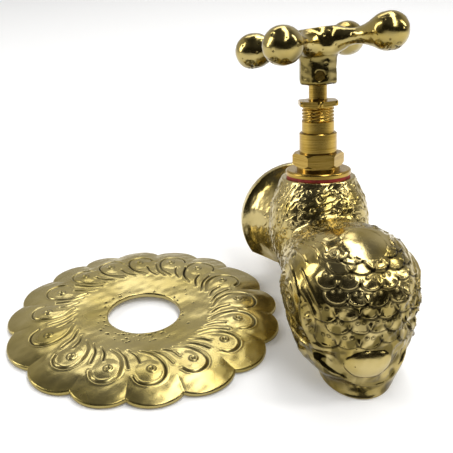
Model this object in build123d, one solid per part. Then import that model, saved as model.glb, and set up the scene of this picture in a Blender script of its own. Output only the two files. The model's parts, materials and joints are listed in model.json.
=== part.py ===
from build123d import *
from math import atan2, cos, degrees, pi, radians, sin
import os

# Cast brass bib tap with its loose wall flange, in millimetres.
#
# Tap frame: x across, +y back along the inlet, +z up the spindle, origin where the two axes cross.
# Row frame: +Z up, origin at the centre of the inlet's back face. The tap stands on its spout lip
# and the rim of its inlet collar, so it leans back, and the wall flange lies beside it.

# Casting.
inlet_reach = 44.8         # spindle axis to the collar's back face
spout_reach = 61.2         # spindle axis to the front of the spout lip
spout_drop = 48.1          # inlet axis down to the front of the spout lip
collar_r = 29.1
collar_band = 4.5          # straight edge of the collar
collar_flat_r = 24.8       # facet on the collar's lower left, from its centre
collar_flat_turn = -115.0  # which way the facet looks, from +x
throat_r = 17.0            # narrow end of the bell behind the chamber
throat_y = 19.0
body_top = 31.2            # seat of the bonnet washer
body_top_r = 16.5
chamber_r = 22.6
chamber_mid = 9.0          # height of the chamber's widest ring
chamber_floor = -18.5
head_back = -41.8          # centre of the ball-shaped head
head_up = -4.5
head_side = 1.4            # the head sits a little to the right of the inlet
head_r = 27.9
crown_h = 23.7             # crown above the head's centre
crown_rings = (20, 40, 58, 73, 86)  # angles up from the head's centre
neck_r = 20.0              # waterway housing from the chamber to the head
neck_drop = 3.0
lip_half_w = 15.0
lip_half_l = 19.0
lip_side = 3.6             # the lip swings a little further to the right than the head
outlet_r = 8.0

# Waterway.
inlet_thread_r = 10.48     # G 1/2 major radius
inlet_thread_len = 16.0
inlet_bore_r = 6.5
lower_room_r = 9.0
lower_room_drop = 8.0      # lower room below the inlet axis
web_t = 2.5                # seat web between the lower and upper rooms
seat_rise = 1.5            # raised seat above the web
seat_r = 6.5               # seat orifice
seat_land = 1.6
upper_room_r = 12.0
channel_r = 5.5
channel_inset = 4.0        # start of the sloping channel inside the upper room's wall
channel_rise = 1.9         # channel's underside above the upper room's floor
head_wall = 9.0            # round room inside the head

# Headwork.
thread_gap = 0.05          # radial clearance of every threaded fit
thread_relief = 0.2        # thread grooves are cut from this far outside the bar
washer_gap = 0.2           # radial clearance of the bonnet washer
run_gap = 0.08             # radial clearance of the spindle in its guides
seal_gap = 0.02            # radial clearance of packed and seated pieces
face_gap = 0.05            # faces of different bodies that meet
stroke_gap = 0.3           # left at full opening above the valve plate and the spindle's thread
bonnet_thread_r = 10.4
bonnet_shoulder = 1.8      # between the spindle thread and the packing
washer_r = 14.2
washer_t = 1.2
flange_r = 14.6
flange_t = 2.2
collar_neck_r = 9.6        # round step under the bonnet's hexagon
collar_neck_t = 1.7
bonnet_hex = 20.0
bonnet_hex_t = 5.8
barrel_r = 8.3
barrel_t = 8.9
barrel_chamfer = 0.4
gland_thread_r = 7.15
gland_pitch = 1.5
gland_groove = 0.45
gland_out = 6.9            # gland thread left standing out of the barrel
gland_in = 4.8
gland_nose = 1.2
gland_hex = 16.5
gland_hex_t = 2.2
packing_r = 6.2
packing_t = 2.0
packing_count = 2
follower_t = 0.9

# Spindle and valve.
spindle_r = 4.0
spindle_thread_r = 6.0
spindle_pitch = 2.5
open_turns = 2.0
foot_r = 5.2
foot_t = 4.0
tang_side = 6.0
tang_from = 1.0            # start of the squared end above the hub's foot
tang_len = 10.5
jumper_stem_r = 3.0
jumper_stem_len = 9.5
stem_clear = 0.5           # left at each end of the stem's hole
plate_r = 8.6
plate_t = 2.5
disc_r = 8.2
disc_t = 3.45
stud_r = 2.0
stud_len = 4.0
nut_across = 7.0
nut_t = 3.0

# Handle.
hub_across = 15.8
hub_z = 71.9
hub_len = 12.6
hub_chamfer = 0.8
cross_z = 89.8
cross_span = 64.8          # ball centre to ball centre
ball_r = 7.9
arm_root_r = 6.5
arm_neck_r = 3.3
arm_neck_share = 0.52      # thinnest place, as a share of the way to the ball
arm_swell = 0.93           # arm just outside the boss, as a share of its root
boss_r = 10.5
boss_half = 6.6
ground_flat = 5.6          # ground top above the arms' centre line
cross_turn = -40.4         # first arm, from +x
cross_tilt = 6.6           # the casting sits crooked on its hub by this much
hub_turn = -98.2           # hub face that carries the grub screw
screw_r = 2.0
screw_up = 4.0
screw_slot = 0.7
socket_gap = 0.05
socket_room = 0.5          # left above the squared end
slot_turn = 35.0

# Wall flange.
plate_hole_r = 17.2
lobe_count = 16
lobe_drift = 5.5           # the pattern's lobes crowd to one side by this angle
lobe_tip_r = 63.6
lobe_root_r = 59.8
plate_metal = 2.4
plate_rise = 3.4           # top of the dome above the top of the rim
plate_crown_r = 38.0       # where the dome is highest
hole_drop = 1.6            # the dome sinks this much towards the hole
plate_gap_to_tap = 82.6    # flange centre to the tap's mid plane
plate_back = -40.2         # flange centre along Y

# Worked out.
lean = degrees(atan2(spout_drop - collar_r, spout_reach + inlet_reach))
lean_cos = cos(radians(lean))
lean_sin = sin(radians(lean))
stand_z = -collar_r * lean_cos
lip_front = -(spout_reach + inlet_reach) * lean_cos - spout_drop * lean_sin
outlet_y = lip_front + lip_half_l
head_y = (head_back - inlet_reach) * lean_cos + head_up * lean_sin
head_z = -(head_back - inlet_reach) * lean_sin + head_up * lean_cos
head_room_r = head_r - head_wall
lift = spindle_pitch * open_turns
web_z = inlet_bore_r
room_floor = web_z + web_t
seat_z = room_floor + seat_rise
flange_z = body_top + washer_t
hex_z = flange_z + flange_t + collar_neck_t
barrel_z = hex_z + bonnet_hex_t
barrel_top = barrel_z + barrel_t
gland_hex_z = barrel_top + gland_out
gland_nose_z = barrel_top - gland_in - gland_nose
follower_z = gland_nose_z - follower_t
packing_z = follower_z - packing_count * packing_t
plate_z = seat_z + disc_t + face_gap
foot_z = plate_z + plate_t + face_gap
thread_z = foot_z + foot_t
stop_z = packing_z - bonnet_shoulder
thread_top = stop_z - lift - stroke_gap
bonnet_bottom = plate_z + plate_t + lift + stroke_gap
channel_from = (-upper_room_r + channel_inset, room_floor + channel_r + channel_rise)
tang_z = hub_z + tang_from
tang_top = tang_z + tang_len


def stand(shape):
    """Move a shape from the tap frame to the row frame."""
    return Rot(-lean, 0, 0) * Pos(0, -inlet_reach, 0) * shape


def rod(radius, low, high):
    """Round bar on the spindle axis between two heights."""
    return Pos(0, 0, low) * Cylinder(radius, high - low, align=(Align.CENTER, Align.CENTER, Align.MIN))


def tube(outer, inner, low, high):
    return rod(outer, low, high) - rod(inner, low, high)


def hexagon(across, low, thick, turn=0.0):
    """Hexagonal bar with its corners turned off at both ends."""
    corner = across / 2 / cos(pi / 6)
    bar = Pos(0, 0, low) * extrude(RegularPolygon(corner, 6), thick)
    chamfered = chamfer(rod(corner, low, low + thick).edges(), min(corner - across / 2, thick / 3) * 0.7)
    return Rot(0, 0, turn) * (bar & chamfered)


def spin_z(points):
    """Revolve a closed outline of (radius, height) points about the spindle axis."""
    return revolve(Plane.XZ * make_face(Polyline(points, close=True)), Axis.Z)


def screw_thread(radius, pitch, depth, low, high):
    """Round bar with one ring groove for each turn of thread."""
    bar = rod(radius, low, high)
    turns = int((high - low) / pitch)
    for turn in range(turns):
        middle = low + (turn + 0.5) * pitch
        outer = radius + thread_relief
        bar -= spin_z([(outer, middle - pitch / 2), (radius - depth, middle), (outer, middle + pitch / 2)])
    return bar


# Casting.
def make_bell():
    """Inlet collar and the bell that narrows from it to the valve chamber."""
    band_y = inlet_reach - collar_band
    edge = Line((throat_r, throat_y), (throat_r, 0))
    sweep = Spline((collar_r, band_y), (throat_r + 5.0, (band_y + throat_y) / 2 + 2.5), (throat_r, throat_y),
                   tangents=[(-1, -0.35), (0, -1)])
    outline = [
        Line((0, 0), (0, inlet_reach)),
        Line((0, inlet_reach), (collar_r, inlet_reach)),
        Line((collar_r, inlet_reach), (collar_r, band_y)),
        sweep,
        edge,
        Line((throat_r, 0), (0, 0)),
    ]
    return revolve(make_face(outline), Axis.Y)


def make_chamber():
    """Valve chamber, widest at its middle, with a flat top for the bonnet washer."""
    side = Spline((body_top_r, body_top), (chamber_r - 2.2, body_top - 9.0), (chamber_r, chamber_mid),
                  (chamber_r * 0.78, chamber_floor * 0.6), (0, chamber_floor), tangents=[(0.35, -1), (-1, 0)])
    outline = [Line((0, chamber_floor), (0, body_top)), Line((0, body_top), (body_top_r, body_top)), side]
    return revolve(Plane.XZ * make_face(outline), Axis.Z)


def make_head():
    """Ball-shaped head whose lower half draws in to the spout lip, front kept upright."""
    drop = head_z - stand_z
    depth = drop / (1 - (lip_half_w / head_r) ** 2) ** 0.5
    sections = []
    for share in (0.0, 0.25, 0.5, 0.75, 1.0):
        height = stand_z + share * drop
        half_w = head_r * (1 - ((head_z - height) / depth) ** 2) ** 0.5
        half_l = lip_half_l + (head_r - lip_half_l) * (half_w - lip_half_w) / (head_r - lip_half_w)
        front = lip_front + (head_y - head_r - lip_front) * share
        side = lip_side + (head_side - lip_side) * share
        sections.append(Pos(side, front + half_l, height) * Ellipse(half_w, half_l))
    for rise in crown_rings:
        ring_r = head_r * cos(radians(rise))
        sections.append(Pos(head_side, head_y, head_z + crown_h * sin(radians(rise))) * Ellipse(ring_r, ring_r))
    return loft(sections)


def make_tap_body():
    neck = Pos(0, head_back / 2, -neck_drop) * Rot(90, 0, 0) * Cylinder(neck_r, -head_back)
    stub_y = inlet_reach + inlet_thread_len / 2
    stub = Pos(0, stub_y, 0) * Rot(90, 0, 0) * Cylinder(inlet_thread_r, inlet_thread_len)
    facet_y = inlet_reach - collar_band
    facet = Rot(0, -collar_flat_turn, 0) * Pos(collar_flat_r, facet_y, 0) * Box(
        collar_r, 3 * collar_band, 2 * collar_r, align=(Align.MIN, Align.CENTER, Align.CENTER))
    casting = stand(make_chamber() + neck + (make_bell() - facet) + stub) + make_head()

    inlet_y = (inlet_reach + inlet_thread_len) / 2
    inlet = Pos(0, inlet_y, 0) * Rot(90, 0, 0) * Cylinder(inlet_bore_r, 2 * inlet_y)
    rooms = inlet + rod(lower_room_r, -lower_room_drop, web_z) + rod(seat_r, web_z - 1, seat_z + 1)
    upper_room = rod(upper_room_r, room_floor, bonnet_bottom) - tube(seat_r + seat_land, seat_r, room_floor, seat_z)
    bonnet_bore = rod(bonnet_thread_r + thread_gap, bonnet_bottom - 1, body_top + 1)
    casting -= stand(rooms)
    casting -= stand(upper_room)
    casting -= stand(bonnet_bore)

    room_middle = Vector(head_side, head_y, head_z)
    start = stand(Pos(0, *channel_from)).position
    run = room_middle - start
    channel = Plane(origin=start, z_dir=run) * Cylinder(
        channel_r, run.length, align=(Align.CENTER, Align.CENTER, Align.MIN))
    outlet = Pos(lip_side, outlet_y, stand_z - 1) * Cylinder(
        outlet_r, head_z - stand_z, align=(Align.CENTER, Align.CENTER, Align.MIN))
    casting -= channel
    casting -= outlet
    # The room's poles point sideways and its seam up, clear of both passages.
    casting -= Pos(*room_middle) * Rot(0, -90, 0) * Sphere(head_room_r)
    return casting


# Headwork.
def make_bonnet_washer():
    return tube(washer_r, bonnet_thread_r + washer_gap, body_top, flange_z)


def make_bonnet():
    outside = rod(bonnet_thread_r, bonnet_bottom, flange_z)
    outside += fillet(rod(flange_r, flange_z, flange_z + flange_t).edges().group_by(Axis.Z)[-1], flange_t * 0.4)
    outside += rod(collar_neck_r, flange_z + flange_t, hex_z)
    outside += hexagon(bonnet_hex, hex_z, bonnet_hex_t, hub_turn + 90)
    outside += chamfer(rod(barrel_r, barrel_z, barrel_top).edges().group_by(Axis.Z)[-1], barrel_chamfer)
    bonnet = outside - rod(spindle_thread_r + thread_gap, bonnet_bottom - 1, stop_z)
    bonnet -= rod(spindle_r + run_gap, stop_z - 1, packing_z + 1)
    bonnet -= rod(packing_r + seal_gap, packing_z, gland_nose_z + gland_nose)
    bonnet -= rod(gland_thread_r + thread_gap, gland_nose_z + gland_nose, barrel_top + 1)
    return bonnet


def make_gland_nut():
    nose_top = gland_nose_z + gland_nose
    nut = rod(packing_r, gland_nose_z, nose_top)
    nut += rod(gland_thread_r, nose_top, barrel_top)
    nut += screw_thread(gland_thread_r, gland_pitch, gland_groove, barrel_top, gland_hex_z)
    nut += hexagon(gland_hex, gland_hex_z, gland_hex_t, hub_turn + 90)
    return nut - rod(spindle_r + run_gap, gland_nose_z - 1, gland_hex_z + gland_hex_t + 1)


def make_packing_ring(index):
    low = packing_z + index * packing_t
    return tube(packing_r, spindle_r + run_gap, low, low + packing_t)


def make_packing_follower():
    return tube(packing_r, spindle_r + run_gap, follower_z, gland_nose_z)


# Spindle and valve.
def make_spindle():
    spindle = rod(foot_r, foot_z, thread_z)
    spindle += rod(spindle_thread_r, thread_z, thread_top)
    spindle += rod(spindle_r, thread_top, tang_z)
    tang = Pos(0, 0, tang_z) * Box(tang_side, tang_side, tang_len, align=(Align.CENTER, Align.CENTER, Align.MIN))
    spindle += Rot(0, 0, hub_turn) * (tang & rod(spindle_r, tang_z, tang_top))
    return spindle - rod(jumper_stem_r + run_gap, foot_z - 1, foot_z + jumper_stem_len + stem_clear)


def make_jumper():
    """Loose valve: a plate with a guide stem above it and a threaded stud below it."""
    jumper = rod(plate_r, plate_z, plate_z + plate_t)
    jumper += rod(jumper_stem_r, plate_z + plate_t, foot_z + jumper_stem_len - stem_clear)
    return jumper + rod(stud_r, plate_z - disc_t - stud_len, plate_z)


def make_jumper_washer():
    return tube(disc_r, stud_r + seal_gap, plate_z - disc_t, plate_z)


def make_jumper_nut():
    top = plate_z - disc_t
    return hexagon(nut_across, top - nut_t, nut_t) - rod(stud_r + seal_gap, top - nut_t - 1, top + 1)


# Handle.
def make_arm():
    """One arm of the cross along +x: a waisted bar that swells into a ball."""
    centre = cross_span / 2
    waist = centre * arm_neck_share
    top = Spline((0, arm_root_r), (waist * 0.45, arm_root_r * arm_swell), (waist, arm_neck_r),
                 (centre - ball_r * 0.75, ball_r * 0.82), (centre, ball_r), tangents=[(1, 0), (1, 0)])
    cap = ThreePointArc((centre, ball_r), (centre + ball_r * sin(pi / 4), ball_r * cos(pi / 4)), (centre + ball_r, 0))
    return revolve(make_face([top, cap, Line((centre + ball_r, 0), (0, 0)), Line((0, 0), (0, arm_root_r))]), Axis.X)


def make_handle():
    boss = fillet(rod(boss_r, -boss_half, boss_half).edges(), boss_half * 0.7)
    cross = boss
    for quarter in range(4):
        cross += Rot(0, 0, 90 * quarter) * make_arm()
    cross -= Pos(0, 0, ground_flat) * Box(4 * boss_r, 4 * boss_r, 20, align=(Align.CENTER, Align.CENTER, Align.MIN))
    cross = Pos(0, 0, cross_z) * Rot(0, 0, cross_turn) * Rot(0, -cross_tilt, 0) * cross

    corner = hub_across / 2 / cos(pi / 8)
    hub = Pos(0, 0, hub_z) * extrude(RegularPolygon(corner, 8), hub_len)
    hub = Rot(0, 0, hub_turn + 22.5) * chamfer(hub.edges().group_by(Axis.Z)[0], hub_chamfer)
    handle = hub + cross

    side = tang_side + 2 * socket_gap
    socket = Pos(0, 0, hub_z - 1) * Box(
        side, side, tang_from + 1 + tang_len + socket_room, align=(Align.CENTER, Align.CENTER, Align.MIN))
    round_mouth = rod(spindle_r + socket_gap, hub_z - 1, tang_top + socket_room)
    handle -= Rot(0, 0, hub_turn) * (socket & round_mouth)
    handle -= rod(spindle_r + socket_gap, hub_z - 1, tang_z)
    return handle - make_screw_rod(screw_r + seal_gap, tang_side / 2, hub_across)


def make_screw_rod(radius, start, end):
    """Round bar across the hub, along the direction of its front face."""
    bar = Rot(0, 90, 0) * Cylinder(radius, end - start, align=(Align.CENTER, Align.CENTER, Align.MIN))
    return Pos(0, 0, hub_z + screw_up) * Rot(0, 0, hub_turn) * Pos(start, 0, 0) * bar


def make_handle_grub_screw():
    face = hub_across / 2
    screw = make_screw_rod(screw_r, tang_side / 2, face)
    slot = Pos(face, 0, 0) * Box(2 * screw_slot, 5 * screw_r, screw_slot)
    return screw - Pos(0, 0, hub_z + screw_up) * Rot(0, 0, hub_turn) * Rot(slot_turn, 0, 0) * slot


# Wall flange.
def make_scallop():
    """Flat outline of the flange: wide round lobes that meet in narrow notches."""
    def turn(lobe):
        even = lobe * 2 * pi / lobe_count
        return even + radians(lobe_drift) * cos(even)

    arcs = []
    for lobe in range(lobe_count):
        first = turn(lobe - 0.5)
        middle = turn(lobe)
        last = turn(lobe + 0.5)
        arcs.append(ThreePointArc(
            (lobe_root_r * cos(first), lobe_root_r * sin(first)),
            (lobe_tip_r * cos(middle), lobe_tip_r * sin(middle)),
            (lobe_root_r * cos(last), lobe_root_r * sin(last))))
    return make_face(arcs)


def make_wall_flange():
    rim_r = lobe_tip_r + 1.0
    rim_top = plate_metal
    crown_top = plate_metal + plate_rise
    hole_top = crown_top - hole_drop
    top = Spline((plate_hole_r, hole_top), (plate_crown_r, crown_top), (rim_r, rim_top),
                 tangents=[(1, 0.12), (1, -0.22)])
    bottom = Spline((rim_r, 0), (plate_crown_r, crown_top - plate_metal),
                    (plate_hole_r, hole_top - plate_metal), tangents=[(-1, 0.22), (-1, -0.12)])
    outline = [
        top,
        Line((rim_r, rim_top), (rim_r, 0)),
        bottom,
        Line((plate_hole_r, hole_top - plate_metal), (plate_hole_r, hole_top)),
    ]
    dish = revolve(Plane.XZ * make_face(outline), Axis.Z)
    dish &= extrude(make_scallop(), 3 * crown_top)
    return Pos(-plate_gap_to_tap, plate_back, stand_z) * dish


parts = {
    "tap_body": make_tap_body(),
    "wall_flange": make_wall_flange(),
    "bonnet_washer": stand(make_bonnet_washer()),
    "bonnet": stand(make_bonnet()),
    "gland_nut": stand(make_gland_nut()),
    "packing_follower": stand(make_packing_follower()),
    "packing_ring_lower": stand(make_packing_ring(0)),
    "packing_ring_upper": stand(make_packing_ring(1)),
    "spindle": stand(make_spindle()),
    "jumper": stand(make_jumper()),
    "jumper_washer": stand(make_jumper_washer()),
    "jumper_nut": stand(make_jumper_nut()),
    "handle": stand(make_handle()),
    "handle_grub_screw": stand(make_handle_grub_screw()),
}

os.makedirs("parts", exist_ok=True)
for name, shape in parts.items():
    export_step(shape, f"parts/{name}.step")
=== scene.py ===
import json
import math
import random

import bmesh
import bpy
import numpy as np
from mathutils import Matrix, Vector


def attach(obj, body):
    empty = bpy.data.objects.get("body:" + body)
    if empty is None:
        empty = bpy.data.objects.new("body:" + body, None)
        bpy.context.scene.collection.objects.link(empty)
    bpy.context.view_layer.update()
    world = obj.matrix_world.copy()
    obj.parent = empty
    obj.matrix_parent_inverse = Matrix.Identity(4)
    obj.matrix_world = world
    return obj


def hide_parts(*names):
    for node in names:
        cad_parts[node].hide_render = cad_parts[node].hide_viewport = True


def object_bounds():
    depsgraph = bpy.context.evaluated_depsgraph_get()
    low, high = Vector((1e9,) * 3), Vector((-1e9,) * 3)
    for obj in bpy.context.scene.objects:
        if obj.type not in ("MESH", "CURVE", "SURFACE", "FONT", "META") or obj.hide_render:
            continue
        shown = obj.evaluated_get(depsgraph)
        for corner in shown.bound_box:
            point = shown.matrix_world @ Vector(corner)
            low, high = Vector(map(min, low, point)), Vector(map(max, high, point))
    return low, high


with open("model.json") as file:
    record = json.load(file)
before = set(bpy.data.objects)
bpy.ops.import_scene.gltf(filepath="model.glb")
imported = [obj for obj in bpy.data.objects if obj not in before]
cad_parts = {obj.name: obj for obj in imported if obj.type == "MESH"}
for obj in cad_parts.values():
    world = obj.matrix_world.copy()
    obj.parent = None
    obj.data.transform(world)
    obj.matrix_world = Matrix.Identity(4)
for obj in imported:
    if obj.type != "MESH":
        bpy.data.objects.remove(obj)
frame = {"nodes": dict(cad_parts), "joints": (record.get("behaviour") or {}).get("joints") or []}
cadBox = [list(corner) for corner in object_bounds()]
nodes = frame["nodes"]
print("frame loaded:", len(nodes), "pieces")

mm = 0.001
turning = next(j for j in frame["joints"] if j["name"] == "handle_turn")
crossing = np.array(turning["pos_m"]) / mm
lean = math.atan2(turning["axis"][1], turning["axis"][2])
leanMatrix = np.array([
    [1, 0, 0],
    [0, math.cos(lean), math.sin(lean)],
    [0, -math.sin(lean), math.cos(lean)],
])
tableZ = cadBox[0][2] / mm

# Millimetres in the tap's own frame: x across, y back along the inlet, z up the spindle.
tapSizes = {
    "inletReach": 44.8,
    "bodyTop": 31.2,
    "headCentre": (1.4, -41.8, -4.5),
    "headRoom": 20.2,
    "outletBore": 8.9,
    "outletCentre": (3.6, -93.824),  # in the row frame
    "threadRadius": 10.48,
    "threadLength": 16.0,
    "threadPitch": 1.814,
    "threadDepth": 0.95,
    "inletBore": 6.5,
    "boreClear": 0.8,
    "roomRadius": 12.9,
    "roomFloor": -9.5,
    "roomTop": 31.0,
}


def toTap(points):
    return (points / mm - crossing) @ leanMatrix


def toRow(points):
    return (points @ leanMatrix.T + crossing) * mm


def addObject(name, mesh, body, slotName, *replaced):
    obj = bpy.data.objects.new(name, mesh)
    bpy.context.scene.collection.objects.link(obj)
    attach(obj, body)
    if replaced:
        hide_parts(*replaced)
    return obj


def readPoints(mesh):
    points = np.zeros(len(mesh.vertices) * 3)
    mesh.vertices.foreach_get("co", points)
    return points.reshape(-1, 3)


def writePoints(mesh, points):
    mesh.vertices.foreach_set("co", np.ascontiguousarray(points, dtype=np.float32).ravel())
    mesh.update()


def readEdges(mesh):
    edges = np.zeros(len(mesh.edges) * 2, np.int64)
    mesh.edges.foreach_get("vertices", edges)
    return edges.reshape(-1, 2)


def readNormals(mesh, points):
    writePoints(mesh, points)
    normals = np.zeros(len(mesh.vertices) * 3)
    mesh.vertex_normals.foreach_get("vector", normals)
    return normals.reshape(-1, 3)


def ringAverage(points, edges):
    ends = np.concatenate([edges[:, 0], edges[:, 1]])
    others = np.concatenate([edges[:, 1], edges[:, 0]])
    count = np.bincount(ends, minlength=len(points)).clip(1)
    sums = [np.bincount(ends, points[others, k], minlength=len(points)) for k in range(points.shape[1])]
    return np.stack(sums, 1) / count[:, None]


def relax(mesh, points, rounds, hollowShare, crownShare, mask):
    edges = readEdges(mesh)
    for turn in range(rounds):
        if turn % 4 == 0:
            normals = readNormals(mesh, points)
        shift = ringAverage(points, edges) - points
        outward = (shift * normals).sum(1)
        share = np.where(outward > 0, hollowShare, crownShare) * mask
        points = points + shift * share[:, None]
    return points


def smoothStep(low, high, value):
    t = np.clip((value - low) / (high - low), 0, 1)
    return t * t * (3 - 2 * t)


def bell(distance, width):
    return np.exp(-(distance / width) ** 2)


def lineDistance(points, line):
    best = np.full(len(points), 1e9)
    along = np.zeros(len(points))
    total = len(line) - 1
    for index in range(total):
        start = line[index]
        step = line[index + 1] - start
        share = np.clip((points - start) @ step / max(step @ step, 1e-9), 0, 1)
        gap = np.linalg.norm(points - start - share[:, None] * step, axis=1)
        closer = gap < best
        best = np.where(closer, gap, best)
        along = np.where(closer, (index + share) / total, along)
    return best, along


def curveThrough(corners, steps=5):
    corners = np.array(corners, float)
    ends = [2 * corners[0] - corners[1], *corners, 2 * corners[-1] - corners[-2]]
    line = []
    for index in range(1, len(ends) - 2):
        before, first, second, after = ends[index - 1:index + 3]
        for step in range(steps):
            t = step / steps
            line.append(0.5 * (2 * first + (second - before) * t
                               + (2 * before - 5 * first + 4 * second - after) * t * t
                               + (3 * first - before - 3 * second + after) * t ** 3))
    line.append(corners[-1])
    return np.array(line)


def waviness(points, scale, seed, waves=14):
    # Smooth random swell, about -1 to 1, whose humps are roughly one scale across.
    dice = np.random.default_rng(seed)
    total = np.zeros(len(points))
    for _ in range(waves):
        direction = dice.normal(size=3)
        direction /= np.linalg.norm(direction)
        stretch = dice.uniform(0.6, 1.5) * math.pi / scale
        total += np.sin(points @ direction * stretch + dice.uniform(0, 2 * math.pi))
    return total / math.sqrt(waves)


def voxelCopy(nodeName, voxel, cutAt=None):
    bm = bmesh.new()
    bm.from_mesh(nodes[nodeName].data)
    bmesh.ops.remove_doubles(bm, verts=bm.verts, dist=0.002 * mm)
    if cutAt is not None:
        place, direction = cutAt
        parts = bm.verts[:] + bm.edges[:] + bm.faces[:]
        cut = bmesh.ops.bisect_plane(bm, geom=parts, plane_co=place, plane_no=direction, clear_outer=True)
        rim = [e for e in cut["geom_cut"] if isinstance(e, bmesh.types.BMEdge)]
        bmesh.ops.triangle_fill(bm, edges=rim, use_beauty=True)
    mesh = bpy.data.meshes.new(nodeName + "Dense")
    bm.to_mesh(mesh)
    bm.free()
    helper = bpy.data.objects.new("helper", mesh)
    bpy.context.scene.collection.objects.link(helper)
    modifier = helper.modifiers.new("dense", "REMESH")
    modifier.mode = "VOXEL"
    modifier.voxel_size = voxel * mm
    graph = bpy.context.evaluated_depsgraph_get()
    dense = bpy.data.meshes.new_from_object(helper.evaluated_get(graph))
    bpy.data.objects.remove(helper)
    dense.materials.clear()
    return dense


def gridFaces(rows, columns):
    # Closed both ways: the last row meets the first, and each row is a ring.
    faces = []
    for row in range(rows):
        nextRow = (row + 1) % rows
        for column in range(columns):
            nextColumn = (column + 1) % columns
            faces.append((row * columns + column, row * columns + nextColumn,
                          nextRow * columns + nextColumn, nextRow * columns + column))
    return faces


def shadeSmooth(mesh, sharpAngle=None):
    mesh.polygons.foreach_set("use_smooth", np.ones(len(mesh.polygons), bool))
    if sharpAngle is not None:
        mesh.set_sharp_from_angle(angle=math.radians(sharpAngle))
    mesh.update()


def addValue(mesh, name, values):
    layer = mesh.attributes.new(name, "FLOAT", "POINT")
    layer.data.foreach_set("value", np.ascontiguousarray(values, dtype=np.float32))


def addNode(tree, kind, x, y, **settings):
    node = tree.nodes.new(kind)
    node.location = (x, y)
    for key, value in settings.items():
        setattr(node, key, value)
    return node


def newGroup(name, inputs, outputs):
    group = bpy.data.node_groups.new(name, "ShaderNodeTree")
    for label, kind, value in inputs:
        socket = group.interface.new_socket(name=label, in_out="INPUT", socket_type=kind)
        if value is not None:
            socket.default_value = value
    for label, kind in outputs:
        group.interface.new_socket(name=label, in_out="OUTPUT", socket_type=kind)
    start = addNode(group, "NodeGroupInput", -900, 0)
    end = addNode(group, "NodeGroupOutput", 900, 0)
    return group, start, end


def placeGroup(tree, group, x, y, look):
    # A socket called "Pit size" takes its value from the look's "pitSize".
    node = addNode(tree, "ShaderNodeGroup", x, y, node_tree=group)
    for socket in node.inputs:
        first, *others = socket.name.split()
        key = first.lower() + "".join(word.capitalize() for word in others)
        if key in look:
            socket.default_value = look[key]
    return node


def connect(tree, *links):
    # Each link is a node and its output, then a node and its input.
    for source, output, receiver, socket in links:
        tree.links.new(source.outputs[output], receiver.inputs[socket])


# Shared effects. Every group puts out masks, colours and heights only.
floatSocket = "NodeSocketFloat"
colourSocket = "NodeSocketColor"
vectorSocket = "NodeSocketVector"


def makeCastGrain():
    group, start, end = newGroup(
        "castGrain",
        [("Vector", vectorSocket, None), ("Grain scale", floatSocket, 900.0),
         ("Pit scale", floatSocket, 260.0), ("Pit size", floatSocket, 0.1),
         ("Cloud scale", floatSocket, 60.0)],
        [("Height", floatSocket), ("Pits", floatSocket), ("Clouds", floatSocket)])
    grain = addNode(group, "ShaderNodeTexNoise", -500, 250)
    grain.inputs["Detail"].default_value = 3.0
    spots = addNode(group, "ShaderNodeTexVoronoi", -500, 0)
    small = addNode(group, "ShaderNodeMath", -250, 0, operation="LESS_THAN")
    some = addNode(group, "ShaderNodeSeparateColor", -250, -160)
    rare = addNode(group, "ShaderNodeMath", -60, -160, operation="LESS_THAN")
    rare.inputs[1].default_value = 0.3  # share of the spots that are pits
    pits = addNode(group, "ShaderNodeMath", 120, -60, operation="MULTIPLY")
    sunk = addNode(group, "ShaderNodeMath", 320, 60, operation="MULTIPLY_ADD")
    sunk.inputs[1].default_value = -1.0
    clouds = addNode(group, "ShaderNodeTexNoise", -500, -350)
    clouds.inputs["Detail"].default_value = 4.0
    connect(group,
            (start, "Vector", grain, "Vector"), (start, "Grain scale", grain, "Scale"),
            (start, "Vector", spots, "Vector"), (start, "Pit scale", spots, "Scale"),
            (spots, "Distance", small, 0), (start, "Pit size", small, 1),
            (spots, "Color", some, "Color"), (some, "Red", rare, 0),
            (small, 0, pits, 0), (rare, 0, pits, 1), (pits, 0, sunk, 0), (grain, "Fac", sunk, 2),
            (start, "Vector", clouds, "Vector"), (start, "Cloud scale", clouds, "Scale"),
            (sunk, 0, end, "Height"), (pits, 0, end, "Pits"), (clouds, "Fac", end, "Clouds"))
    return group


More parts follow.
